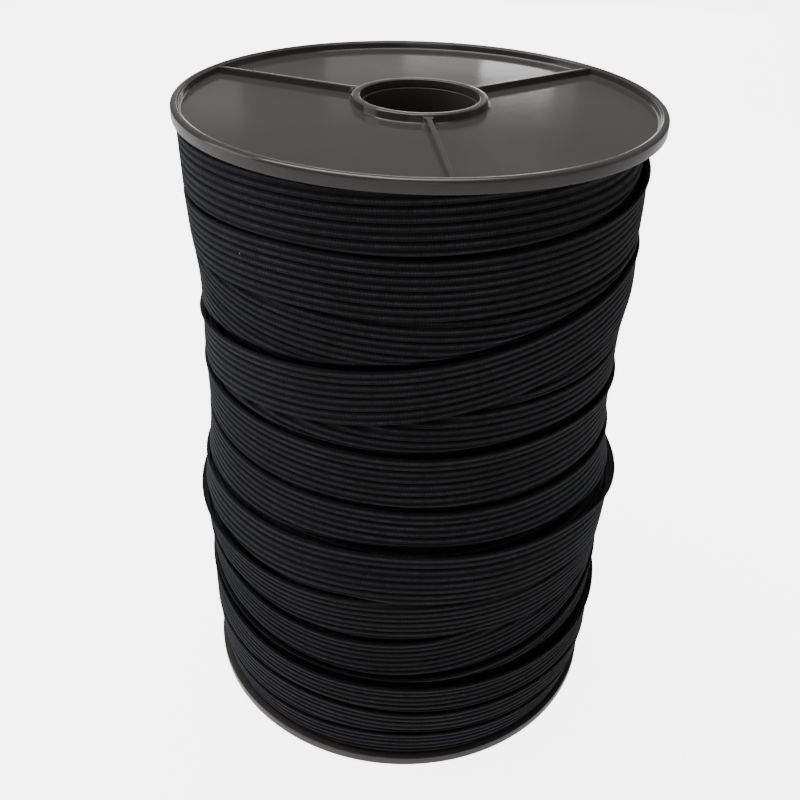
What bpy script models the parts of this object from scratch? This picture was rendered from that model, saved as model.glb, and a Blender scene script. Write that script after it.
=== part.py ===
"""A reel of flat elastic: two moulded flanges, the tube between them, and the elastic
wound on it as a descending helix of overlapping laps.

Metres, +Z up. The origin is the middle of the face that the reel stands on, the photo's
near side is -Y. Every height in the lap table is in millimetres below the reel's top.
"""
from math import cos, pi, radians, sin

import bmesh
import bpy
import numpy as np

MM = 0.001
GAP = 0.3 * MM                      # air between pieces that touch

# The reel
REEL_HEIGHT = 296.0 * MM
FLANGE_RADIUS = 100.0 * MM
RIM_HEIGHT = 5.2 * MM
RIM_WIDTH = 3.5 * MM
RIM_CHAMFER = 0.5 * MM
RECESS_DEPTH = 3.3 * MM             # the disc's face lies this far under the rim's
BORE_RADIUS = 24.6 * MM
COLLAR_WALL = 3.3 * MM              # raised ring around the bore
LEDGE_DEPTH = 3.0 * MM              # where the tube's end shows inside the bore
TUBE_INNER_RADIUS = 23.4 * MM
TUBE_WALL = 2.6 * MM
RIB_WIDTH = 2.6 * MM
RIB_DROP = 0.2 * MM                 # the ribs' tops lie this far under the rim's
RIB_ROOT = 0.8 * MM                 # how far a rib runs into what it joins
GUSSET_WIDTH = 5.0 * MM             # a rib widens where it meets the collar
GUSSET_LENGTH = 2.5 * MM
RIB_AZIMUTHS = (3.0, 123.0, 243.0)  # degrees from the near side, towards +X
FLANGE_SIDES = 80
TUBE_SIDES = 64

# The winding
RIBS_PER_LAP = 6                    # raised ribs of the elastic that one lap shows
RIB_RELIEF = 1.35                   # millimetres from a rib's top to the groove beside it
FULL_RELIEF_PITCH = 2.5             # ribs closer than this, in millimetres, stand less high
LIP_GAP = 0.9                       # millimetres of groove above a lap's upper edge
LIP_GAP_SHARE = 0.2                 # and never more than this share of the lap
LIP_OUT = 0.45                      # share of a lip that stands out of the winding's girth
LIP_IN = 0.55                       # share by which the lap above it is drawn in
LIP_FADE = 0.35                     # share of a lap over which its lip sinks back
TUCK_START = 0.55                   # share of a lap where it starts to dive under the next
COLUMNS = 32                        # points around one turn
KNOT_AZIMUTHS = (80.0, 40.0, 0.0, -40.0, -80.0)

# Heights of each lap's upper edge in millimetres below the reel's top, seen at five
# azimuths from right to left, and how far that edge stands proud of the lap above it.
LAPS = [
    # name            right  mid-right front  mid-left left    lip: right front left
    ("over_top",      (30.0,   26.0,   22.0,   18.0,   14.0),   (0.0, 0.0, 0.0)),
    ("first",          (6.0,   -3.5,   -7.8,  -10.0,  -15.0),   (0.0, 0.0, 0.0)),
    ("second",       (-23.0,  -24.5,  -30.1,  -35.5,  -43.0),   (3.5, 0.8, 0.5)),
    ("third",        (-43.0,  -48.5,  -53.0,  -56.5,  -62.0),   (0.3, 0.0, 0.0)),
    ("fourth",       (-51.5,  -58.5,  -73.3,  -82.3,  -92.0),   (2.5, 2.6, 3.8)),
    ("fifth",        (-81.0,  -85.5,  -95.0, -102.5, -105.0),   (0.0, 0.0, 0.0)),
    ("sixth",       (-115.0, -110.5, -113.5, -113.3, -113.0),   (4.0, 3.0, 1.5)),
    ("seventh",     (-137.0, -137.8, -140.7, -140.1, -139.0),   (2.5, 2.2, 0.5)),
    ("eighth",      (-170.0, -162.0, -160.5, -160.5, -167.0),   (7.5, 5.0, 2.8)),
    ("ninth",       (-198.0, -194.5, -190.5, -185.5, -187.0),   (1.5, 0.4, 5.5)),
    ("tenth",       (-211.0, -210.0, -210.5, -209.0, -213.0),   (0.5, 2.5, 1.2)),
    ("eleventh",    (-219.0, -224.0, -231.5, -230.0, -229.0),   (2.0, 1.8, 1.6)),
    ("twelfth",     (-239.0, -238.5, -237.5, -237.5, -244.0),   (5.0, 4.5, 3.4)),
    ("thirteenth",  (-265.0, -261.0, -259.0, -258.0, -258.5),   (0.5, 0.8, 0.6)),
    ("last",        (-289.0, -287.0, -285.0, -283.0, -281.0),   (0.0, 0.0, 0.0)),
    ("under_bottom", (-316.0, -314.0, -312.0, -310.0, -308.0),  (0.0, 0.0, 0.0)),
    ("end",          (-342.0, -340.0, -338.0, -336.0, -334.0),  (0.0, 0.0, 0.0)),
]

# The winding's girth in millimetres, which is fuller in the lower half.
GIRTH = [
    # below  right  front   left
    (0.0,    96.5,  96.5,   98.5),
    (20.0,   95.0,  96.0,   98.3),
    (50.0,   95.8,  96.0,   97.0),
    (72.0,   96.8,  96.0,   94.6),
    (90.0,   94.6,  95.0,   94.6),
    (110.0,  94.3,  95.2,   95.2),
    (140.0,  95.0,  95.5,   95.2),
    (160.0,  98.0,  98.0,   97.0),
    (175.0, 101.2, 101.2,   99.5),
    (190.0, 101.0, 101.0,  101.3),
    (212.0,  99.4,  99.8,   99.8),
    (232.0,  99.5, 100.0,   99.6),
    (245.0, 100.8, 101.0,  100.4),
    (265.0, 101.4, 100.0,   99.7),
    (280.0,  99.8,  97.8,   98.5),
    (291.0,  97.5,  95.3,   96.5),
]

PLASTIC = ("reel_plastic", (0.085, 0.082, 0.076), 0.38)
ELASTIC = ("elastic_black", (0.012, 0.012, 0.013), 0.85)


def clear_scene():
    """Empties the file, so that the part is all it holds."""
    for item in list(bpy.data.objects):
        bpy.data.objects.remove(item, do_unlink=True)


def make_collection(name):
    """A new collection under the scene's own."""
    group = bpy.data.collections.new(name)
    bpy.context.scene.collection.children.link(group)
    return group


def make_material(name, colour, roughness):
    """A plain Principled material."""
    material = bpy.data.materials.new(name)
    material.use_nodes = True
    shader = material.node_tree.nodes["Principled BSDF"]
    shader.inputs["Base Color"].default_value = (*colour, 1.0)
    shader.inputs["Roughness"].default_value = roughness
    shader.inputs["Metallic"].default_value = 0.0
    return material


def make_object(name, mesh, group, material=None):
    """An object for the mesh, in its collection and with its material."""
    item = bpy.data.objects.new(name, mesh)
    group.objects.link(item)
    if material:
        mesh.materials.append(material)
    return item


def mesh_from(bm, name):
    """A mesh of the bmesh, which is then freed."""
    mesh = bpy.data.meshes.new(name)
    bm.to_mesh(mesh)
    bm.free()
    return mesh


def hide_cutter(item):
    """Marks a helper that only takes part in a Boolean."""
    item.hide_render = True
    item.display_type = "WIRE"


def turned(name, outline, sides, group, material=None):
    """A closed outline of (radius, height) points, turned about Z."""
    bm = bmesh.new()
    points = [bm.verts.new((radius, 0.0, height)) for radius, height in outline]
    for point, following in zip(points, points[1:] + points[:1]):
        bm.edges.new((point, following))
    item = make_object(name, mesh_from(bm, name), group, material)
    screw = item.modifiers.new("turn", "SCREW")
    screw.steps = sides
    screw.render_steps = sides
    screw.use_merge_vertices = True
    screw.merge_threshold = 0.00001
    screw.use_smooth_shade = False
    return item


def add_boolean(item, other, operation):
    """Joins, cuts or keeps what the item shares with the other object."""
    boolean = item.modifiers.new(operation.lower(), "BOOLEAN")
    boolean.operation = operation
    boolean.solver = "EXACT"
    boolean.object = other
    return boolean


def flange_outline():
    """The flange's section, its face with the rim and the collar at height 0."""
    collar_edge = BORE_RADIUS + COLLAR_WALL
    rim_inside = FLANGE_RADIUS - RIM_WIDTH
    seat = TUBE_INNER_RADIUS + TUBE_WALL + GAP
    return [
        (BORE_RADIUS, 0.0),
        (collar_edge, 0.0),
        (collar_edge, -RECESS_DEPTH),
        (rim_inside, -RECESS_DEPTH),
        (rim_inside, 0.0),
        (FLANGE_RADIUS - RIM_CHAMFER, 0.0),
        (FLANGE_RADIUS, -RIM_CHAMFER),
        (FLANGE_RADIUS, -RIM_HEIGHT + RIM_CHAMFER),
        (FLANGE_RADIUS - RIM_CHAMFER, -RIM_HEIGHT),
        (seat, -RIM_HEIGHT),
        (seat, -LEDGE_DEPTH),
        (BORE_RADIUS, -LEDGE_DEPTH),
    ]


def flange_ribs(name, group):
    """Three radial ribs, each with a wider gusset against the collar."""
    inner = BORE_RADIUS + COLLAR_WALL - RIB_ROOT
    gusset = BORE_RADIUS + COLLAR_WALL + GUSSET_LENGTH
    outer = FLANGE_RADIUS - RIM_WIDTH + RIB_ROOT
    half = RIB_WIDTH / 2
    wide = GUSSET_WIDTH / 2
    plan = [(inner, -wide), (gusset, -half), (outer, -half),
            (outer, half), (gusset, half), (inner, wide)]
    bottom = -RECESS_DEPTH - RIB_ROOT
    bm = bmesh.new()
    for azimuth in RIB_AZIMUTHS:
        turn = radians(azimuth - 90.0)
        base = [bm.verts.new((along * cos(turn) - across * sin(turn),
                              along * sin(turn) + across * cos(turn), bottom))
                for along, across in plan]
        face = bm.faces.new(base)
        top = bmesh.ops.extrude_face_region(bm, geom=[face])["geom"]
        for point in top:
            if isinstance(point, bmesh.types.BMVert):
                point.co.z = -RIB_DROP
    bmesh.ops.recalc_face_normals(bm, faces=bm.faces)
    return make_object(name, mesh_from(bm, name), group)


def make_flange(name, group, cutters, material):
    """One flange with its face at height 0: a turned disc with three ribs joined on."""
    flange = turned(name, flange_outline(), FLANGE_SIDES, group, material)
    ribs = flange_ribs(name + "_ribs", cutters)
    hide_cutter(ribs)
    ribs.parent = flange
    add_boolean(flange, ribs, "UNION")
    return flange


def make_core_tube(group, material):
    """The tube that the elastic is wound on, from ledge to ledge."""
    outer = TUBE_INNER_RADIUS + TUBE_WALL
    low = LEDGE_DEPTH + GAP
    high = REEL_HEIGHT - LEDGE_DEPTH - GAP
    outline = [(TUBE_INNER_RADIUS, high), (outer, high), (outer, low), (TUBE_INNER_RADIUS, low)]
    return turned("core_tube", outline, TUBE_SIDES, group, material)


def smooth_through(places, values, wanted):
    """A cubic through the values at the places, with the slope at each taken across it."""
    slopes = np.gradient(values, places)
    index = np.clip(np.searchsorted(places, wanted, side="right") - 1, 0, len(places) - 2)
    span = places[index + 1] - places[index]
    part = (wanted - places[index]) / span
    rise = values[index + 1] - values[index]
    start = slopes[index] * span
    end = slopes[index + 1] * span
    return (values[index] + part * start + part ** 2 * (3 * rise - 2 * start - end)
            + part ** 3 * (start + end - 2 * rise))


def lap_tracks():
    """The laps' edge heights and lips against the turned angle, in degrees.

    The angle grows by 360 a lap and is 0 where the first lap passes the right-most knot.
    """
    height_places = []
    heights = []
    lip_places = []
    lips = []
    for turn, (_, edge, lip) in enumerate(LAPS):
        for azimuth, height in zip(KNOT_AZIMUTHS, edge):
            height_places.append(360.0 * turn + KNOT_AZIMUTHS[0] - azimuth)
            heights.append(height)
        for azimuth, proud in zip(KNOT_AZIMUTHS[::2], lip):
            lip_places.append(360.0 * turn + KNOT_AZIMUTHS[0] - azimuth)
            lips.append(proud)
    tracks = (height_places, heights, lip_places, lips)
    return [np.array(track) for track in tracks]


def lap_rows():
    """The rows across one lap: share of the lap, and the ribs' relief there."""
    rows = [(0.0, 0.0)]
    for rib in range(RIBS_PER_LAP):
        rows.append(((rib + 0.5) / RIBS_PER_LAP, 0.5))
        rows.append(((rib + 1.0) / RIBS_PER_LAP, -0.5))
    return np.array(rows)


def smoothstep(start, end, values):
    """0 below start, 1 above end, with an even bend between."""
    part = np.clip((values - start) / (end - start), 0.0, 1.0)
    return part * part * (3.0 - 2.0 * part)


def girth_at(height, azimuth):
    """The winding's radius: the front's on the near side, the sides' mean behind."""
    below, right, front, left = np.array(GIRTH).T
    right_here = np.interp(-height, below, right)
    front_here = np.interp(-height, below, front)
    left_here = np.interp(-height, below, left)
    nearness = np.clip(np.cos(azimuth), 0.0, 1.0) ** 2
    middle = (right_here + left_here) / 2
    lean = (right_here - left_here) / 2 * np.sin(azimuth)
    return middle + (front_here - middle) * nearness + lean


def winding_points():
    """Points of the wound surface: one row of the array for each step of the helix."""
    height_places, heights, lip_places, lips = lap_tracks()
    turns = len(LAPS) - 2
    angle = np.arange(turns * COLUMNS + 1) * 360.0 / COLUMNS
    share, relief = lap_rows().T
    top = smooth_through(height_places, heights, angle)[:, None]
    bottom = smooth_through(height_places, heights, angle + 360.0)[:, None]
    lip = smooth_through(lip_places, lips, angle)[:, None]
    tuck = smooth_through(lip_places, lips, angle + 360.0)[:, None]
    # The last row stops short of the next lap's edge, which leaves the groove above it.
    drop = top - bottom
    height = top - share * (drop - np.minimum(LIP_GAP, LIP_GAP_SHARE * drop))
    azimuth = np.radians(KNOT_AZIMUTHS[0] - angle)[:, None]
    radius = girth_at(height, azimuth)
    radius += LIP_OUT * lip * (1.0 - smoothstep(0.0, LIP_FADE, share))
    radius -= LIP_IN * tuck * smoothstep(TUCK_START, 1.0, share)
    pitch = drop / RIBS_PER_LAP
    radius += relief * RIB_RELIEF * np.minimum(1.0, pitch / FULL_RELIEF_PITCH)
    x = radius * np.sin(azimuth)
    y = -radius * np.cos(azimuth)
    return np.stack([x * MM, y * MM, REEL_HEIGHT + height * MM], axis=-1)


def make_winding_body(group, material):
    """The helical strip closed on itself, lap against lap, with a cone at each end."""
    grid = winding_points()
    steps, across = grid.shape[:2]
    bm = bmesh.new()
    verts = [[bm.verts.new(point) for point in row] for row in grid]

    def at(step, row):
        """A point of the strip; past its last row it is the next lap's first."""
        return verts[step][row] if row < across else verts[step + COLUMNS][0]

    for step in range(steps - 1):
        lap_follows = step + 1 + COLUMNS < steps
        for row in range(across if lap_follows else across - 1):
            a, b = at(step, row), at(step + 1, row)
            c, d = at(step + 1, row + 1), at(step, row + 1)
            bm.faces.new((a, b, c))
            bm.faces.new((a, c, d))
    loose_ends = [edge for edge in bm.edges if edge.is_boundary]
    for sign in (1.0, -1.0):
        rim = [edge for edge in loose_ends
               if (edge.verts[0].co.z - REEL_HEIGHT / 2) * sign > 0]
        tip = bm.verts.new((0.0, 0.0, REEL_HEIGHT / 2 + sign * REEL_HEIGHT))
        for edge in rim:
            bm.faces.new((edge.verts[0], edge.verts[1], tip))
    bmesh.ops.recalc_face_normals(bm, faces=bm.faces)
    return make_object("wound_elastic", mesh_from(bm, "wound_elastic"), group, material)


def make_winding(group, cutters, material):
    """The wound elastic: the helical body, kept where the reel has room for it."""
    winding = make_winding_body(group, material)
    inner = TUBE_INNER_RADIUS + TUBE_WALL + GAP
    outer = 2 * FLANGE_RADIUS
    high = REEL_HEIGHT - RIM_HEIGHT - GAP
    low = RIM_HEIGHT + GAP
    outline = [(inner, high), (outer, high), (outer, low), (inner, low)]
    room = turned("winding_room", outline, TUBE_SIDES, cutters)
    hide_cutter(room)
    add_boolean(winding, room, "INTERSECT")
    return winding


def main():
    clear_scene()
    parts = make_collection("reel_of_elastic")
    cutters = make_collection("cutters")
    plastic = make_material(*PLASTIC)
    elastic = make_material(*ELASTIC)

    top = make_flange("top_flange", parts, cutters, plastic)
    top.location.z = REEL_HEIGHT
    bottom = make_flange("bottom_flange", parts, cutters, plastic)
    bottom.rotation_euler.y = pi
    make_core_tube(parts, plastic)
    make_winding(parts, cutters, elastic)


main()
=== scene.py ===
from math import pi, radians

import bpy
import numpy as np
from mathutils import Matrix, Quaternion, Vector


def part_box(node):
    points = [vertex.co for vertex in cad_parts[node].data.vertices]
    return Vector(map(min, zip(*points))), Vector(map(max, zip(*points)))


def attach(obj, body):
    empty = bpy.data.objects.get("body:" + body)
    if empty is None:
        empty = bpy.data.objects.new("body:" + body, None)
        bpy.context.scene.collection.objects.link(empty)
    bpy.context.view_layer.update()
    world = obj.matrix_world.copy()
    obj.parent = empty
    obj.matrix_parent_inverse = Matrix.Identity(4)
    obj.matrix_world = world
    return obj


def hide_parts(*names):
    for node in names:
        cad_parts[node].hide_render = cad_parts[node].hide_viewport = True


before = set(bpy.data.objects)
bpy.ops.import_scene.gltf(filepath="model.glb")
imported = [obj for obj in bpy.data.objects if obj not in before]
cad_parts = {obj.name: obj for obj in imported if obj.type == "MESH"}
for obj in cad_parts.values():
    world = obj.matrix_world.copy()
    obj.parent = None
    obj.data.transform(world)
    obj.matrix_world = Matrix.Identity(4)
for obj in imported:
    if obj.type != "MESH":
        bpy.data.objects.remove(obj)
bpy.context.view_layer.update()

# A reel of flat ribbed elastic: the finish of the two moulded flanges and their tube, and
# the elastic wound on them as one long tape in overlapping laps.
# Metres, +Z up, the photo's near side is -Y. An azimuth is counted in degrees from the near
# side, towards +X. The tape is worked out in millimetres: heights count up from the reel's
# top, so they are negative on the reel, and radii from its axis.

MM = 0.001
GAP = 0.3 * MM

# Sizes read from the frame
REEL_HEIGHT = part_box("top_flange")[1][2]
FLANGE_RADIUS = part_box("top_flange")[1][0]
RIM_HEIGHT = REEL_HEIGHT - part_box("top_flange")[0][2]
TUBE_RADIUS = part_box("core_tube")[1][0]
TUBE_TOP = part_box("core_tube")[1][2]

# The moulded flange
RIM_WIDTH = 3.5 * MM
RECESS_DEPTH = 3.3 * MM             # the disc's face lies this far under the rim's
BORE_RADIUS = 24.6 * MM
COLLAR_WALL = 3.3 * MM              # raised ring around the bore
TUBE_WALL = 2.6 * MM
RIB_WIDTH = 2.6 * MM
RIB_DROP = 0.6 * MM                 # the ribs' tops lie this far under the rim's
GUSSET_WIDTH = 5.0 * MM             # a rib widens where it meets the collar
GUSSET_LENGTH = 2.5 * MM
RIB_AZIMUTHS = (3.0, 123.0, 243.0)

# The tape
TAPE_RIBS = 8
TAPE_THICKNESS = 1.5
RIB_RELIEF = 0.80                   # from a rib's top to the groove between two pairs
RIB_ROUNDNESS = 2.0                 # power of the rib's section: 2 is round, more is flatter
PAIR_RELIEF = 0.7                   # share of that relief between the two ribs of a pair
PAIR_SHIFT = 0.12                   # how much closer the ribs of a pair stand, of a pitch
TAPE_TURNS = 18                     # from the upper flange to past the lower one's bend
TAPE_STEPS = 240                    # points round one turn
TAPE_EDGE = 0.62                    # share of the thickness at which the section turns in
KNOT_AZIMUTHS = (80.0, 40.0, 0.0, -40.0, -80.0)
LIP_OUT = 0.45                      # share of a lip by which the outer tape stands proud
LIP_IN = 0.55                       # share of a lip by which the inner tape is drawn in
LIP_REACH = 9.0                     # how far across the tape an edge bends outwards
TUCK_REACH = 2.4                    # how far from the edge above it the inner tape dives
TUCK_REACH_PER_LIP = 0.55
LAYER = 1.75                        # how deep one tape lies under another
MOST_DRAWN_IN = 5.0
LEVEL_STEP = 0.15                   # levels that differ by less lie side by side
FLANGE_TURN_IN = 2.2                # bend radius where the tape turns in along a flange
FLANGE_GAP = 0.4                    # room between the turned-in tape and a flange
UNDER_RIBS = 92                     # ribs of the layer below, from flange to flange
UNDER_STEPS = 120                   # points round the layer below
UNDER_GAP = 0.5                     # room between that layer, the tape and the flanges
FLANGE_DIP = 4.6                    # how much deeper that layer lies beside a flange

# The stage
SURROUND_SEEN = 5.0                 # the floor's and the surround's glow for the camera
SURROUND_LIGHT = 0.14               # and the surround's for the reel
FLOOR_LIGHT = 0.70                  # the floor's glow for the reel, close to its lower rim
FLOOR_LIGHT_INNER = 1.14            # in flange radii from the axis: up to here in full,
FLOOR_LIGHT_OUTER = 1.30            # and from here on none
FLOOR_HALF = 6.0

# Each lap's upper edge at the five KNOT_AZIMUTHS, as a height; how far that edge stands off
# the lap above it; its level at the right, front and left, where the lap with the higher
# level lies over the other; the pitch of its ribs; and how far it swings up on the back
# before it meets the next row. An edge past a flange is turned in along it.
LAPS = [
    # upper edge, from right to left           lip                         level               pitch  swing
    ((26.0,   24.0,   21.0,   18.5,   15.0),   (0.3, 0.3, 0.3, 0.3, 0.3),   (0.0, 0.0, 0.0),    3.20,   0),
    ((1.5,    -1.3,   -3.8,   -5.6,   -7.5),   (0.3, 0.3, 0.3, 0.3, 0.3),   (1.0, 1.0, 1.0),    3.23,   0),
    ((-19.5, -26.0,  -29.9,  -31.3,  -34.5),   (6.0, 2.0, 0.9, 0.6, 0.6),   (2.0, 2.0, 2.0),    2.98,   0),
    ((-43.0, -48.5,  -50.0,  -47.6,  -43.5),   (0.4, 0.4, 0.4, 0.4, 0.4),   (1.0, 1.0, 1.0),    2.95,   0),
    ((-73.0, -73.0,  -71.5,  -68.2,  -64.1),   (0.4, 0.4, 0.4, 0.4, 0.4),   (0.0, 0.0, 0.0),    2.95,   0),
    ((-69.0, -69.7,  -74.0,  -83.0,  -91.0),   (0.4, 0.4, 0.4, 0.4, 0.4),   (0.5, 0.5, 0.5),    3.00,   6),
    ((-51.5, -59.8,  -72.3,  -80.6,  -87.8),   (2.5, 2.6, 2.6, 3.2, 3.8),   (3.0, 3.2, 3.6),    3.12,   7),
    ((-93.2, -94.3,  -94.6,  -90.8,  -86.0),   (0.4, 0.4, 0.4, 0.4, 0.4),   (2.0, 1.4, 1.0),    3.00,  -9),
    ((-115.0, -113.0, -113.8, -113.5, -112.7), (4.0, 3.5, 3.0, 2.0, 1.5),   (4.0, 4.0, 4.0),    3.18,   3),
    ((-142.0, -142.0, -141.2, -139.5, -138.7), (2.5, 2.4, 2.2, 1.2, 0.6),   (5.0, 5.0, 5.0),    3.05,   10),
    ((-172.0, -164.3, -161.5, -163.3, -166.3), (7.5, 6.5, 5.0, 3.5, 2.8),   (6.0, 6.0, 6.0),    3.25,   8),
    ((-190.0, -185.5, -185.8, -188.5, -187.0), (0.4, 0.4, 0.4, 2.5, 5.5),   (5.4, 5.8, 7.5),    3.10,   0),
    ((-200.0, -202.0, -211.5, -211.8, -203.5), (0.4, 0.4, 2.0, 2.5, 1.2),   (5.0, 5.92, 8.5),   3.00,   0),
    ((-216.0, -227.5, -234.0, -233.5, -223.5), (3.0, 2.6, 1.8, 1.8, 1.6),   (9.0, 9.2, 9.5),    3.05,   0),
    ((-239.5, -240.9, -239.0, -237.8, -230.5), (6.0, 5.5, 4.5, 4.0, 3.4),   (10.0, 10.0, 10.0), 3.10,   0),
    ((-266.5, -260.5, -258.4, -256.4, -257.0), (0.6, 0.8, 0.9, 0.8, 0.7),   (11.0, 11.0, 11.0), 3.20,   0),
    ((-282.0, -277.0, -274.0, -276.5, -279.0), (0.3, 0.4, 0.5, 0.4, 0.3),   (12.0, 12.0, 12.0), 3.05,   0),
    ((-296.0, -294.0, -292.0, -291.0, -290.0), (0.3, 0.3, 0.3, 0.3, 0.3),   (13.0, 13.0, 13.0), 3.10,   0),
    ((-316.0, -314.0, -312.0, -310.0, -308.0), (0.3, 0.3, 0.3, 0.3, 0.3),   (14.0, 14.0, 14.0), 3.10,   0),
    ((-342.0, -340.0, -338.0, -336.0, -334.0), (0.3, 0.3, 0.3, 0.3, 0.3),   (15.0, 15.0, 15.0), 3.10,   0),
]

# The winding's radius at distances below the reel's top. It is fuller in the lower half.
GIRTH = [
    # below  right  front   left
    (0.0,    91.0,  96.5,   98.5),
    (12.0,   91.0,  96.3,   98.4),
    (22.0,   94.3,  96.0,   98.2),
    (50.0,   95.8,  96.0,   97.0),
    (72.0,   96.8,  96.0,   94.6),
    (90.0,   94.6,  95.0,   94.6),
    (110.0,  94.3,  95.2,   95.2),
    (140.0,  95.0,  95.5,   95.2),
    (160.0,  98.0,  98.0,   97.0),
    (175.0, 101.2, 101.2,   99.5),
    (190.0, 101.0, 101.0,  101.3),
    (212.0,  99.4,  99.8,   99.8),
    (232.0,  99.5, 100.0,   99.6),
    (245.0, 100.8, 101.0,  100.4),
    (265.0, 101.4, 100.0,   99.7),
    (280.0,  99.8,  98.6,   98.5),
    (291.0,  97.5,  97.4,   96.5),
]


# ---------------------------------------------------------------- meshes from arrays

def grid_faces(rows, columns, wrap_rows=False, wrap_columns=False):
    """Quads between the neighbours of a rows x columns grid of points, numbered row by row.
    Where a direction wraps, its last row or column joins the first."""
    row = np.arange(rows if wrap_rows else rows - 1)[:, None]
    column = np.arange(columns if wrap_columns else columns - 1)[None, :]
    next_row = (row + 1) % rows
    next_column = (column + 1) % columns
    corners = (row * columns + column, row * columns + next_column,
               next_row * columns + next_column, next_row * columns + column)
    return np.stack(np.broadcast_arrays(*corners), axis=-1).reshape(-1, 4)


def make_piece(name, points, faces, material, caps=(), uv=None, sharp=None):
    """An object at the origin from an array of points and one of quads, with flat caps, each
    a ring of point numbers, and a UV value for every point. It is shaded smooth, but for the
    edges that turn by more than the sharp angle, in degrees."""
    corners = np.concatenate([faces.ravel(), *caps]).astype(np.int32)
    sizes = np.array([4] * len(faces) + [len(cap) for cap in caps])
    starts = np.concatenate([[0], np.cumsum(sizes)[:-1]]).astype(np.int32)
    mesh = bpy.data.meshes.new(name)
    mesh.vertices.add(len(points))
    mesh.vertices.foreach_set("co", points.astype(np.float32).ravel())
    mesh.loops.add(len(corners))
    mesh.loops.foreach_set("vertex_index", corners)
    mesh.polygons.add(len(sizes))
    mesh.polygons.foreach_set("loop_start", starts)
    mesh.update(calc_edges=True)
    if uv is not None:
        layer = mesh.uv_layers.new(name="UVMap")
        layer.data.foreach_set("uv", uv[corners].astype(np.float32).ravel())
    mesh.shade_smooth()
    if sharp:
        mesh.set_sharp_from_angle(angle=radians(sharp))
    mesh.materials.append(material)
    piece = bpy.data.objects.new(name, mesh)
    bpy.context.scene.collection.objects.link(piece)
    return piece


def smoothstep(start, end, values):
    """0 up to start, 1 from end on, and 3p^2 - 2p^3 of the part p of the way between."""
    part = np.clip((values - start) / (end - start), 0.0, 1.0)
    return part * part * (3.0 - 2.0 * part)


def smooth_through(places, values, wanted):
    """A cubic through the values at the places, with the slope at each taken across it."""
    slopes = np.gradient(values, places)
    index = np.clip(np.searchsorted(places, wanted, side="right") - 1, 0, len(places) - 2)
    span = places[index + 1] - places[index]
    part = (wanted - places[index]) / span
    rise = values[index + 1] - values[index]
    start = slopes[index] * span
    end = slopes[index + 1] * span
    return (values[index] + part * start + part ** 2 * (3 * rise - 2 * start - end)
            + part ** 3 * (start + end - 2 * rise))


# ---------------------------------------------------------------- the wound tape

def track(column, azimuths):
    """One column of the lap table as a smooth function of the turned angle in degrees, which
    grows by 360 a lap and is 0 where the first row passes the right-most azimuth."""
    turns = [360.0 * turn + KNOT_AZIMUTHS[0] - np.array(azimuths) for turn in range(len(LAPS))]
    values = [np.ravel(lap[column]).astype(float) for lap in LAPS]
    places, values = np.concatenate(turns), np.concatenate(values)
    return lambda angle: smooth_through(places, values, angle)


edge_track = track(0, KNOT_AZIMUTHS)
lip_track = track(1, KNOT_AZIMUTHS)
level_track = track(2, KNOT_AZIMUTHS[::2])
pitch_track = track(3, KNOT_AZIMUTHS[2:3])
SWINGS = np.array([float(lap[4]) for lap in LAPS])


def edge_at(angle):
    """The height of the edge that shows: the table's, with a slow waver of two sines, and on
    the back the swing, which grows and fades with the square of a sine."""
    turned = np.radians(angle)
    seen = KNOT_AZIMUTHS[0] - KNOT_AZIMUTHS[-1]
    behind = np.clip((angle % 360.0 - seen) / (360.0 - seen), 0.0, 1.0)
    turn = np.clip(np.floor(angle / 360.0), 0, len(LAPS) - 1).astype(int)
    swing = SWINGS[turn] * np.sin(pi * behind) ** 2
    waver = 0.30 * np.sin(2.63 * turned + 1.0) + 0.22 * np.sin(6.17 * turned)
    return edge_track(angle) + waver + swing


def lip_at(angle):
    """The table's lip, up to a tenth more or less along the tape."""
    turned = np.radians(angle)
    return np.maximum(lip_track(angle), 0.0) * (1.0 + 0.10 * np.sin(4.41 * turned + 0.6))


def girth_at(height, azimuth):
    """The winding's radius: the front's on the near side, by the square of the azimuth's
    cosine, the sides' mean behind, and the sides' difference by the azimuth's sine."""
    below, right, front, left = np.array(GIRTH).T
    here = np.clip(-height, 0.0, below[-1])
    right_here = smooth_through(below, right, here)
    front_here = smooth_through(below, front, here)
    left_here = smooth_through(below, left, here)
    nearness = np.clip(np.cos(azimuth), 0.0, 1.0) ** 2
    middle = (right_here + left_here) / 2
    lean = (right_here - left_here) / 2 * np.sin(azimuth)
    return middle + (front_here - middle) * nearness + lean


def tape_section():
    """The tape's closed section as (share of its width, depth). Outside, each rib dips by
    relief * |2t - 1|^roundness at the part t of its width, and the dip is deeper between
    pairs of ribs, which stand closer together; the inside is flat."""
    part = np.array([0.0, 0.06, 0.17, 0.34, 0.66, 0.83, 0.94])
    dip = RIB_RELIEF * np.abs(2 * part - 1) ** RIB_ROUNDNESS
    share = (np.arange(TAPE_RIBS)[:, None] + part).ravel()
    share = share - PAIR_SHIFT * np.sin(pi * share) / pi
    outer = np.cos(pi * share / 2) ** 2
    depth = -np.tile(dip, TAPE_RIBS) * (PAIR_RELIEF + (1.0 - PAIR_RELIEF) * outer)
    share = np.append(share / TAPE_RIBS, 1.0)
    depth = np.append(depth, 0.0)
    depth[[0, -1]] = -TAPE_EDGE * TAPE_THICKNESS
    inner = np.linspace(0.988, 0.012, 8)
    share = np.concatenate([share, inner])
    depth = np.concatenate([depth, np.full(len(inner), -TAPE_THICKNESS)])
    return share, depth


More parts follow.
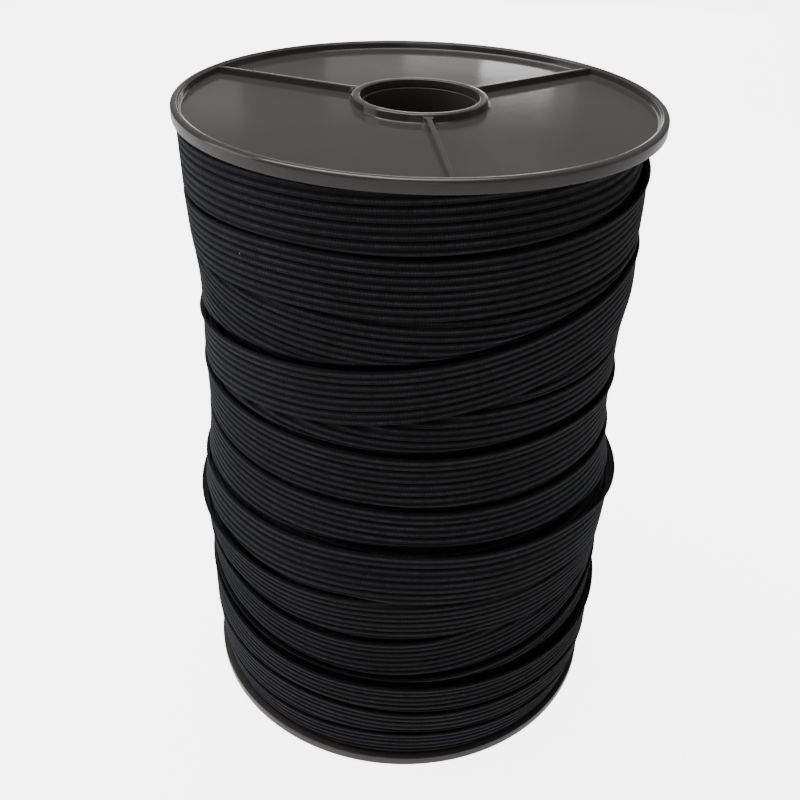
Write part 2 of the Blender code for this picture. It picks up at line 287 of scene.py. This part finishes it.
def turn_in(radius, height, offset):
    """Turns what would pass a flange in along it. A point past the start of the bend moves
    round a quarter circle of FLANGE_TURN_IN and then straight inwards."""
    room = RIM_HEIGHT / MM + FLANGE_GAP
    for sign, limit in ((1.0, -room), (-1.0, room - REEL_HEIGHT / MM)):
        start = limit - sign * FLANGE_TURN_IN
        past = np.maximum(sign * (height - start), 0.0)
        bend = np.minimum(past / FLANGE_TURN_IN, pi / 2)
        straight = np.maximum(past - FLANGE_TURN_IN * pi / 2, 0.0)
        reach = FLANGE_TURN_IN + offset
        turned_radius = radius - offset - FLANGE_TURN_IN + reach * np.cos(bend) - straight
        turned_height = start + sign * reach * np.sin(bend)
        radius = np.where(past > 0, turned_radius, radius)
        height = np.where(past > 0, turned_height, height)
    return radius, height


def drawn_in_at(angle, height):
    """How deep the tape of a turned angle lies at a height: a layer, and a share of the lip,
    for every lap of a higher level that lies over it there, and for a reach past its edges.
    The share of the lip grows with the square of the nearness to that lap's upper edge."""
    level = level_track(angle)
    drawn_in = 0.0
    for turns in (-3, -2, -1, 1, 2, 3):
        other = angle + 360.0 * turns
        over = smoothstep(-LEVEL_STEP, LEVEL_STEP, level_track(other) - level)
        over_edge, over_lip = edge_at(other), lip_at(other)
        lower_edge = over_edge - TAPE_RIBS * pitch_track(other)
        reach = TUCK_REACH + TUCK_REACH_PER_LIP * over_lip
        below = smoothstep(0.0, 1.0, (over_edge + reach - height) / (reach + 0.5))
        above = smoothstep(0.0, 1.0, (height - lower_edge + TUCK_REACH) / (TUCK_REACH + 0.5))
        nearness = np.clip(1.0 - (over_edge - height) / LIP_REACH, 0.0, 1.0) ** 2
        by_lip = LIP_IN * over_lip * nearness
        drawn_in = drawn_in + over * (LAYER + by_lip) * below * above
    return np.minimum(drawn_in, MOST_DRAWN_IN)


def tape_shape(angle, share, depth):
    """Radius and height of the tape at turned angles, at shares of its width and depths. Its
    upper edge bends out with the square of the nearness to that edge, where it lies over the
    lap above it."""
    azimuth = np.radians(KNOT_AZIMUTHS[0] - angle)
    width = TAPE_RIBS * pitch_track(angle)
    height = edge_at(angle) - share * width
    rise = level_track(angle) - level_track(angle - 360.0)
    bent = np.clip(1.0 - share * width / LIP_REACH, 0.0, 1.0) ** 2
    lift = LIP_OUT * lip_at(angle) * bent * smoothstep(-LEVEL_STEP, LEVEL_STEP, rise)
    radius = girth_at(height, azimuth) + lift - drawn_in_at(angle, height) + depth
    return turn_in(radius, height, depth)


def tape_surface(start, end):
    """Points of the tape between two turned angles, one row of the array for each step along
    it, at (r sin a, -r cos a) for the radius r and azimuth a, and their UV: millimetres along,
    and ribs across."""
    steps = int(round((end - start) / 360.0 * TAPE_STEPS))
    angle = np.linspace(start, end, steps + 1)[:, None]
    azimuth = np.radians(KNOT_AZIMUTHS[0] - angle)
    share, depth = tape_section()
    radius, height = tape_shape(angle, share, depth)
    points = np.stack([radius * np.sin(azimuth) * MM,
                       -radius * np.cos(azimuth) * MM,
                       REEL_HEIGHT + height * MM], axis=-1)
    along = np.broadcast_to(np.radians(angle) * GIRTH[0][1], height.shape)
    across = np.broadcast_to(share * TAPE_RIBS, height.shape)
    return points, np.stack([along, across], axis=-1)


def make_tape(name, start, end, material):
    """A stretch of the tape between two turned angles, as a closed band with flat ends."""
    points, uv = tape_surface(start, end)
    steps, section = points.shape[:2]
    faces = grid_faces(steps, section, wrap_columns=True)[:, ::-1]
    first_end = np.arange(section)
    last_end = np.arange(section)[::-1] + (steps - 1) * section
    piece = make_piece(name, points.reshape(-1, 3), faces, material,
                       caps=(first_end, last_end), uv=uv.reshape(-1, 2), sharp=75.0)
    return finish_piece(piece, "elastic_black", "wound_elastic")


def finish_piece(piece, slot, *nodes):
    """Rides the piece on the reel and hides the CAD nodes that it stands for. The slot is not used."""
    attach(piece, "root")
    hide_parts(*nodes)
    return piece


def make_under_layer(material):
    """The winding under the outer tape, closed down to the core tube, with level ribs that
    show where the laps part. It lies a tape's thickness and UNDER_GAP below the deepest lap
    that covers each height and azimuth, and at least FLANGE_DIP deeper beside the flanges,
    where the tape turns in. Each rib dips as the tape's do."""
    cover_fade = 2.0
    room = RIM_HEIGHT / MM + UNDER_GAP
    length = REEL_HEIGHT / MM - 2 * room
    part = np.array([0.0, 0.15, 0.35, 0.65, 0.85])
    ribs = np.append((np.arange(UNDER_RIBS)[:, None] + part).ravel(), UNDER_RIBS)[:, None]
    dip = RIB_RELIEF * np.abs(2.0 * (ribs % 1.0) - 1.0) ** RIB_ROUNDNESS
    height = -room - ribs * length / UNDER_RIBS
    azimuth = np.linspace(-60.0, 300.0, UNDER_STEPS, endpoint=False)[None, :]
    from_flange = np.minimum(-height - room, height + REEL_HEIGHT / MM - room)
    deepest = FLANGE_DIP * (1.0 - smoothstep(3.0, 7.0, from_flange)) + 0 * azimuth
    for turn in range(len(LAPS)):
        angle = (KNOT_AZIMUTHS[0] - azimuth) % 360.0 + 360.0 * turn
        edge = edge_at(angle)
        lower_edge = edge - TAPE_RIBS * pitch_track(angle)
        covers = smoothstep(-cover_fade, 0.0, edge - height)
        covers = covers * smoothstep(-cover_fade, 0.0, height - lower_edge)
        deepest = np.maximum(deepest, covers * drawn_in_at(angle, height))
    radius = girth_at(height, np.radians(azimuth)) - deepest - TAPE_THICKNESS - UNDER_GAP - dip
    inner = np.full((1, azimuth.size), (TUBE_RADIUS + GAP) / MM)
    radius = np.concatenate([inner, radius, inner])
    height = np.concatenate([height[:1], height, height[-1:]]) + 0 * azimuth
    ribs = np.concatenate([ribs[:1], ribs, ribs[-1:]]) + 0 * azimuth
    along = np.radians(azimuth) * GIRTH[0][1] + 0 * ribs
    points = np.stack([radius * np.sin(np.radians(azimuth)) * MM,
                       -radius * np.cos(np.radians(azimuth)) * MM,
                       REEL_HEIGHT + height * MM], axis=-1)
    faces = grid_faces(*height.shape, wrap_rows=True, wrap_columns=True)[:, ::-1]
    piece = make_piece("under_layer", points.reshape(-1, 3), faces, material, sharp=75.0,
                       uv=np.stack([along, ribs], axis=-1).reshape(-1, 2))
    return finish_piece(piece, "elastic_black", "wound_elastic")


# ---------------------------------------------------------------- the moulded reel

def arc(centre, radius, start, end, steps):
    """Points (across, up) on an arc about a centre, between two angles in degrees."""
    turned = np.radians(np.linspace(start, end, steps + 1))
    return [(centre[0] + radius * np.cos(a), centre[1] + radius * np.sin(a)) for a in turned]


def flange_section():
    """The flange's turned section, face up at height 0, as a closed loop of (radius, height)
    that runs outwards over the face and back underneath. Every edge is a small arc, but for the three
    corners underneath by the tube."""
    soft = 0.35 * MM
    collar_soft = 0.6 * MM
    outer_soft = 1.3 * MM
    fillet = 0.8 * MM
    draft = 0.12 * MM
    floor = -RECESS_DEPTH
    collar = BORE_RADIUS + COLLAR_WALL
    rim = FLANGE_RADIUS - RIM_WIDTH
    seat = TUBE_RADIUS + GAP
    ledge = TUBE_TOP + GAP - REEL_HEIGHT
    points = arc((BORE_RADIUS + soft, -soft), soft, 180, 90, 4)
    points += arc((collar - collar_soft, -collar_soft), collar_soft, 90, 0, 6)
    points += arc((collar + draft + fillet, floor + fillet), fillet, 180, 270, 6)
    disc = np.linspace(collar + 2 * MM, rim - 2 * MM, 44)
    points += [(radius, floor) for radius in disc]
    points += arc((rim - draft - fillet, floor + fillet), fillet, 270, 360, 6)
    # The rim's top has a fine step along its inner edge.
    points += arc((rim + soft, -0.45 * MM - soft), soft, 180, 90, 4)
    points += arc((rim + 3.2 * soft, -soft * 0.8), soft * 0.8, 180, 90, 3)
    points += arc((FLANGE_RADIUS - outer_soft, -outer_soft), outer_soft, 90, 0, 8)
    points += arc((FLANGE_RADIUS - soft, -RIM_HEIGHT + soft), soft, 0, -90, 4)
    underside = np.linspace(FLANGE_RADIUS - 4 * MM, seat + 4 * MM, 12)
    points += [(radius, -RIM_HEIGHT) for radius in underside]
    points += [(seat, -RIM_HEIGHT), (seat, ledge), (BORE_RADIUS, ledge)]
    return np.array(points)


def sector_columns(radius):
    """The azimuths of the grid's columns within 60 degrees of a rib, for each radius, and
    how far across the rib each lies, in its half widths. Close to the rib they keep a fixed
    share of the half width, at its arcsine over the radius, so that the rib's sides are
    straight; the others are spread evenly, and count as far off."""
    near = np.array([0.0, 0.45, 0.78, 0.9, 0.97, 1.02, 1.06, 1.12, 1.25, 1.6])
    far_off = 9.0
    collar = BORE_RADIUS + COLLAR_WALL
    gusset = smoothstep(collar + GUSSET_LENGTH + 0.8 * MM, collar + GUSSET_LENGTH, radius)
    half = (RIB_WIDTH + (GUSSET_WIDTH - RIB_WIDTH) * gusset) / 2
    close = np.arcsin(near * half[:, None] / radius[:, None])
    spread = np.linspace(0.0, 1.0, 33)[1:]
    far = close[:, -1:] + (pi / 3 - close[:, -1:]) * spread
    side = np.concatenate([close, far], axis=1)
    across = np.concatenate([near, np.full(len(spread), far_off)])
    azimuths = np.concatenate([-side[:, :0:-1], side[:, :-1]], axis=1)
    return azimuths, np.concatenate([across[:0:-1], across[:-1]])


def make_flange(name, material, turned_over):
    """One flange: the turned section, and over the disc the higher of the section and the
    ribs. Across a rib its height falls by a smooth step at its sides, from a top that is a
    little crowned. The lower flange is the upper one turned over about Y."""
    section = flange_section()
    radius, height = section.T
    azimuths, across = sector_columns(radius)
    shape = 1.0 - smoothstep(0.74, 1.12, across)
    shape = np.where(across < 0.9, 1.0 - 0.04 * np.clip(across / 0.9, 0, 1) ** 6, shape)
    rib = -RECESS_DEPTH + (RECESS_DEPTH - RIB_DROP) * shape
    on_face = (height > -RECESS_DEPTH - GAP) & (radius > BORE_RADIUS + COLLAR_WALL / 2)
    on_face &= np.arange(len(section)) < np.argmax(radius)
    on_face &= radius < FLANGE_RADIUS - RIM_WIDTH / 2
    height = height[:, None]
    lifted = np.where(on_face[:, None], np.maximum(height, rib[None, :]), height)
    turn = np.concatenate([radians(azimuth) + azimuths for azimuth in RIB_AZIMUTHS], axis=1)
    level = np.tile(lifted, (1, len(RIB_AZIMUTHS)))
    x = radius[:, None] * np.sin(turn)
    y = -radius[:, None] * np.cos(turn)
    z = REEL_HEIGHT + level
    if turned_over:
        x, z = -x, REEL_HEIGHT - z
    points = np.stack([x, y, z], axis=-1).reshape(-1, 3)
    faces = grid_faces(*level.shape, wrap_rows=True, wrap_columns=True)[:, ::-1]
    piece = make_piece(name + "_moulding", points, faces, material, sharp=35.0)
    return finish_piece(piece, "reel_plastic", name)


def make_core(material):
    """The tube inside the bore, turned about Z, its ends with small arcs and its inner wall
    drafted by a tenth of a millimetre towards the middle."""
    soft = 0.15 * MM
    inner = TUBE_RADIUS - TUBE_WALL
    bottom = REEL_HEIGHT - TUBE_TOP
    upper = arc((inner + soft, TUBE_TOP - soft), soft, 180, 90, 4)
    upper += arc((TUBE_RADIUS - soft, TUBE_TOP - soft), soft, 90, 0, 4)
    lower = arc((TUBE_RADIUS - soft, bottom + soft), soft, 0, -90, 4)
    lower += arc((inner + soft, bottom + soft), soft, 270, 180, 4)
    length = TUBE_TOP - bottom - 2 * soft
    wall = [(inner - 0.1 * MM * np.sin(pi * part), bottom + soft + part * length)
            for part in np.linspace(0.0, 1.0, 26)[1:-1]]
    radius, height = np.array(upper + lower + wall).T
    azimuth = np.linspace(0.0, 2 * pi, 144, endpoint=False)[None, :]
    points = np.stack([radius[:, None] * np.sin(azimuth), -radius[:, None] * np.cos(azimuth),
                       height[:, None] + 0 * azimuth], axis=-1)
    faces = grid_faces(len(radius), azimuth.size, wrap_rows=True, wrap_columns=True)[:, ::-1]
    piece = make_piece("core_tube_wall", points.reshape(-1, 3), faces, material, sharp=40.0)
    return finish_piece(piece, "reel_plastic", "core_tube")


# ---------------------------------------------------------------- materials

def add_node(tree, kind, inputs=None, **settings):
    """Adds a node. Each input is given a value, or the socket that feeds it."""
    made = tree.nodes.new(kind)
    for name, value in settings.items():
        setattr(made, name, value)
    for name, value in (inputs or {}).items():
        if isinstance(value, bpy.types.NodeSocket):
            tree.links.new(value, made.inputs[name])
        else:
            made.inputs[name].default_value = value
    return made


def maths(tree, operation, *values):
    """The result of a Math node on values or sockets."""
    made = add_node(tree, "ShaderNodeMath", dict(enumerate(values)), operation=operation)
    return made.outputs[0]


def new_group(name, inputs, outputs):
    """A shader node group with number and vector inputs and number outputs."""
    group = bpy.data.node_groups.new(name, "ShaderNodeTree")
    for socket, value in inputs.items():
        kind = "NodeSocketVector" if value is None else "NodeSocketFloat"
        made = group.interface.new_socket(name=socket, in_out="INPUT", socket_type=kind)
        if value is not None:
            made.default_value = value
    for socket in outputs:
        group.interface.new_socket(name=socket, in_out="OUTPUT", socket_type="NodeSocketFloat")
    given = group.nodes.new("NodeGroupInput").outputs
    return group, given, group.nodes.new("NodeGroupOutput").inputs


def noise(tree, vector, scale, detail=2.0, roughness=0.5):
    """The value of a Noise texture."""
    inputs = {"Vector": vector, "Scale": scale, "Detail": detail, "Roughness": roughness}
    return add_node(tree, "ShaderNodeTexNoise", inputs).outputs[0]


def mottle_group():
    """Slow and fine unevenness: a slow noise for colour, a fine one for the surface."""
    group, given, result = new_group("mottle", {"Vector": None, "Slow": 20.0, "Fine": 900.0},
                                     ("Cloud", "Grain"))
    cloud = noise(group, given["Vector"], given["Slow"], 3.0)
    grain = noise(group, given["Vector"], given["Fine"], 2.0, 0.6)
    group.links.new(cloud, result["Cloud"])
    group.links.new(grain, result["Grain"])
    return group


def knit_and_highlight_group():
    """The elastic's stitches, and a painted highlight along its ribs. Across a rib the stitches slant
    towards its middle, so the stitch is a sine of the way along plus a share of the distance d
    from the rib's middle, shifted from rib to rib and by an uneven amount. The crest is
    (1 - 2d)^3: 1 along the rib's middle and 0 in the groove, a painted highlight where the ribs catch the
    light."""
    group, given, result = new_group("knit_and_highlight", {"UV": None, "Stitch": 1.1, "Slant": 0.9,
                                              "Shift": 0.0}, ("Stitches", "Crest_Highlight"))
    split = add_node(group, "ShaderNodeSeparateXYZ", {0: given["UV"]})
    part = maths(group, "SUBTRACT", maths(group, "FRACT", split.outputs["Y"]), 0.5)
    aside = maths(group, "ABSOLUTE", part)
    along = maths(group, "DIVIDE", split.outputs["X"], given["Stitch"])
    slanted = maths(group, "MULTIPLY_ADD", aside, given["Slant"], along)
    rib = maths(group, "FLOOR", split.outputs["Y"])
    own_shift = maths(group, "MULTIPLY_ADD", rib, 0.37, given["Shift"])
    phase = maths(group, "ADD", slanted, own_shift)
    wave = maths(group, "SINE", maths(group, "MULTIPLY", phase, 2 * pi))
    stitches = maths(group, "MULTIPLY_ADD", wave, 0.5, 0.5)
    to_groove = maths(group, "MULTIPLY_ADD", aside, -2.0, 1.0)
    group.links.new(stitches, result["Stitches"])
    # The crest is a painted highlight: it pales the colour along each rib's middle and fades to none in the
    # groove.
    group.links.new(maths(group, "POWER", to_groove, 3.0), result["Crest_Highlight"])
    return group


def specks_group():
    """Sparse specks: 1 inside small cells around the points of a Voronoi texture, of which
    only a share carries a speck."""
    group, given, result = new_group("specks", {"Vector": None, "Scale": 60.0, "Size": 0.05,
                                                "Share": 0.05}, ("Mask",))
    cells = add_node(group, "ShaderNodeTexVoronoi",
                     {"Vector": given["Vector"], "Scale": given["Scale"]})
    inside = maths(group, "LESS_THAN", cells.outputs["Distance"], given["Size"])
    chance = add_node(group, "ShaderNodeSeparateColor", {0: cells.outputs["Color"]}).outputs[0]
    chosen = maths(group, "LESS_THAN", chance, given["Share"])
    group.links.new(maths(group, "MULTIPLY", inside, chosen), result["Mask"])
    return group


def placed(tree, group, inputs):
    """The outputs of a node group placed in a material."""
    return add_node(tree, "ShaderNodeGroup", inputs, node_tree=group).outputs


def mixed(tree, share, first, second):
    """A colour between two, each a socket or an (r, g, b)."""
    first, second = ((*colour, 1.0) if isinstance(colour, tuple) else colour
                     for colour in (first, second))
    inputs = {0: share, 6: first, 7: second}
    return add_node(tree, "ShaderNodeMix", inputs, data_type="RGBA").outputs[2]


def new_material(name, **constants):
    """A material with its shader's constant sockets set by name."""
    material = bpy.data.materials.new(name)
    material.use_nodes = True
    shader = material.node_tree.nodes["Principled BSDF"]
    for socket, value in constants.items():
        shader.inputs[socket.replace("_", " ")].default_value = value
    return material, material.node_tree, shader.inputs


def elastic_material(groups):
    """Black ribbed elastic: near black, with a painted highlight along each rib's crest that is a little
    paler on the stitches, matt, with a faint sheen where it turns away."""
    material, tree, shader = new_material("elastic", Sheen_Weight=0.10, Sheen_Roughness=0.45,
                                          Sheen_Tint=(0.75, 0.77, 0.82, 1.0), Specular_IOR_Level=0.12)
    uv = add_node(tree, "ShaderNodeUVMap", uv_map="UVMap").outputs[0]
    place = add_node(tree, "ShaderNodeTexCoord").outputs["Object"]
    mottle = placed(tree, groups["mottle"], {"Vector": place, "Slow": 28.0, "Fine": 2600.0})
    uneven = placed(tree, groups["mottle"], {"Vector": place, "Slow": 330.0, "Fine": 900.0})
    shift = maths(tree, "MULTIPLY", uneven["Cloud"], 1.6)
    knit_and_highlight = placed(tree, groups["knit_and_highlight"], {"UV": uv, "Stitch": 1.15, "Slant": 0.9, "Shift": shift})
    specks = placed(tree, groups["specks"],
                    {"Vector": place, "Scale": 130.0, "Size": 0.045, "Share": 0.012})
    stitched = maths(tree, "MULTIPLY_ADD", knit_and_highlight["Stitches"], 0.5, 0.7)
    broken = maths(tree, "MULTIPLY", uneven["Cloud"], stitched)
    # Painted highlight: the colour pales along each rib's crest, broken by the stitches and by slow
    # patches.
    crest_highlight = maths(tree, "MULTIPLY", knit_and_highlight["Crest_Highlight"], broken)
    patches = maths(tree, "MULTIPLY_ADD", mottle["Cloud"], 2.6, 0.2)
    pale = maths(tree, "MULTIPLY", crest_highlight, patches)
    colour = mixed(tree, pale, (0.0066, 0.0067, 0.0078), (0.058, 0.0585, 0.064))
    tree.links.new(mixed(tree, specks["Mask"], colour, (0.35, 0.34, 0.32)), shader["Base Color"])
    tree.links.new(maths(tree, "MULTIPLY_ADD", mottle["Grain"], 0.2, 0.66), shader["Roughness"])
    grain = maths(tree, "MULTIPLY", mottle["Grain"], 0.12)
    height = maths(tree, "MULTIPLY_ADD", knit_and_highlight["Stitches"], 0.07, grain)
    bump = add_node(tree, "ShaderNodeBump", {"Height": height, "Distance": MM, "Strength": 1.0})
    tree.links.new(bump.outputs[0], shader["Normal"])
    return material


def plastic_material(groups):
    """Dark grey moulded plastic: slow clouds in colour and gloss, a fine grain, fine dust."""
    material, tree, shader = new_material("moulded_plastic", Specular_IOR_Level=0.5)
    place = add_node(tree, "ShaderNodeTexCoord").outputs["Object"]
    mottle = placed(tree, groups["mottle"], {"Vector": place, "Slow": 22.0, "Fine": 1400.0})
    specks = placed(tree, groups["specks"],
                    {"Vector": place, "Scale": 170.0, "Size": 0.05, "Share": 0.02})
    colour = mixed(tree, mottle["Cloud"], (0.050, 0.048, 0.045), (0.066, 0.063, 0.059))
    tree.links.new(mixed(tree, specks["Mask"], colour, (0.3, 0.29, 0.27)), shader["Base Color"])
    tree.links.new(maths(tree, "MULTIPLY_ADD", mottle["Cloud"], 0.08, 0.075), shader["Roughness"])
    wave = maths(tree, "MULTIPLY", mottle["Cloud"], 0.14)
    height = maths(tree, "MULTIPLY_ADD", mottle["Grain"], 0.012, wave)
    bump = add_node(tree, "ShaderNodeBump", {"Height": height, "Distance": MM, "Strength": 0.6})
    tree.links.new(bump.outputs[0], shader["Normal"])
    return material


def floor_material():
    """A plain pale floor. The camera sees all of it glow, and the reel is lit by the glow close
    around its lower rim alone, which fades between two distances from the reel's axis."""
    material, tree, shader = new_material("pale_floor", Base_Color=(0.9, 0.9, 0.9, 1.0),
                                          Roughness=0.9, Emission_Color=(1.0, 1.0, 1.0, 1.0))
    seen = add_node(tree, "ShaderNodeLightPath").outputs["Is Camera Ray"]
    place = add_node(tree, "ShaderNodeTexCoord").outputs["Object"]
    distance = add_node(tree, "ShaderNodeVectorMath", {0: place}, operation="LENGTH")
    close = add_node(tree, "ShaderNodeMapRange", {
        "Value": distance.outputs["Value"], "To Min": FLOOR_LIGHT, "To Max": 0.0,
        "From Min": FLOOR_LIGHT_INNER * FLANGE_RADIUS,
        "From Max": FLOOR_LIGHT_OUTER * FLANGE_RADIUS}).outputs[0]
    rest = maths(tree, "SUBTRACT", SURROUND_SEEN, close)
    tree.links.new(maths(tree, "MULTIPLY_ADD", seen, rest, close), shader["Emission Strength"])
    return material


# ---------------------------------------------------------------- stage, light and camera

def make_floor():
    """A flat square of floor under the reel."""
    corners = [(-1.0, -1.0, 0.0), (1.0, -1.0, 0.0), (1.0, 1.0, 0.0), (-1.0, 1.0, 0.0)]
    points = FLOOR_HALF * np.array(corners)
    floor = make_piece("floor", points, np.array([[0, 1, 2, 3]]), floor_material())


def add_light(name, place, aim, size, power):
    """A rectangular soft light at a place, turned to face a point."""
    light = bpy.data.lights.new(name, "AREA")
    light.shape = "RECTANGLE"
    light.size, light.size_y = size
    light.energy = power
    lamp = bpy.data.objects.new(name, light)
    lamp.location = place
    lamp.rotation_euler = (Vector(aim) - Vector(place)).to_track_quat("-Z", "Y").to_euler()
    bpy.context.scene.collection.objects.link(lamp)


def make_lights():
    """A pale surround, a large soft light overhead, four soft fills around the reel, and what
    its upper flange mirrors."""
    world = bpy.data.worlds.new("surround")
    world.use_nodes = True
    # The camera sees the surround as pale as the floor, and the reel is lit by less of it.
    background = world.node_tree.nodes["Background"].inputs
    background["Color"].default_value = (1.0, 1.0, 1.0, 1.0)
    seen = add_node(world.node_tree, "ShaderNodeLightPath").outputs["Is Camera Ray"]
    strength = maths(world.node_tree, "MULTIPLY_ADD", seen, SURROUND_SEEN, SURROUND_LIGHT)
    world.node_tree.links.new(strength, background["Strength"])
    bpy.context.scene.world = world
    aim = (0.0, 0.0, 0.15)
    add_light("overhead", (-0.3, 0.3, 2.0), aim, (1.6, 1.6), 47.0)
    add_light("left_fill", (-1.9, 0.1, 0.7), aim, (1.0, 1.4), 7.9)
    add_light("right_fill", (1.9, 0.3, 0.8), aim, (0.8, 1.2), 0.5)
    add_light("front_fill", (-0.2, -1.75, 0.42), aim, (0.8, 0.8), 1.5)
    add_light("back_fill", (0.1, 1.9, 0.33), aim, (1.6, 0.45), 6.0)
    # The flange mirrors a small window behind it, the window's dimmer side, and the wall.
    add_light("window", (0.295, 1.5, 0.611), (0.05, 0.06, 0.29), (0.14, 0.075), 0.12)
    add_light("window_side", (0.145, 1.5, 0.605), (0.02, 0.08, 0.29), (0.14, 0.04), 0.016)
    add_light("wall", (0.17, 1.55, 0.64), (0.02, 0.08, 0.29), (0.50, 0.16), 0.055)
    add_light("wall_left", (-0.33, 1.5, 0.71), (-0.08, 0.02, 0.29), (0.18, 0.08), 0.012)


def make_camera():
    """The photo's camera: 42.8 mm on a 36 mm sensor, turned a little about its axis."""
    place = Vector((-0.02813, -0.39282, 0.40107))
    aim = Vector((-0.00501, -0.01507, 0.15761))
    roll = radians(1.87)
    data = bpy.data.cameras.new("camera")
    data.lens = 42.79
    data.clip_start = 0.01
    camera = bpy.data.objects.new("camera", data)
    camera.location = place
    turned = (aim - place).to_track_quat("-Z", "Y") @ Quaternion((0.0, 0.0, 1.0), roll)
    camera.rotation_euler = turned.to_euler()
    bpy.context.scene.collection.objects.link(camera)
    bpy.context.scene.camera = camera


def main():
    """Makes the finishes, the reel's pieces and the stage."""
    groups = {"mottle": mottle_group(), "knit_and_highlight": knit_and_highlight_group(), "specks": specks_group()}
    elastic = elastic_material(groups)
    plastic = plastic_material(groups)
    # The tape is split where it passes the back, so that each piece stays light.
    back = KNOT_AZIMUTHS[0] + 180.0
    cuts = (0.0, back + 5 * 360.0, back + 11 * 360.0, TAPE_TURNS * 360.0)
    for name, start, end in zip(("upper", "middle", "lower"), cuts, cuts[1:]):
        make_tape("tape_" + name, start, end, elastic)
    make_under_layer(elastic)
    make_flange("top_flange", plastic, False)
    make_flange("bottom_flange", plastic, True)
    make_core(plastic)
    make_floor()
    make_lights()
    make_camera()


main()
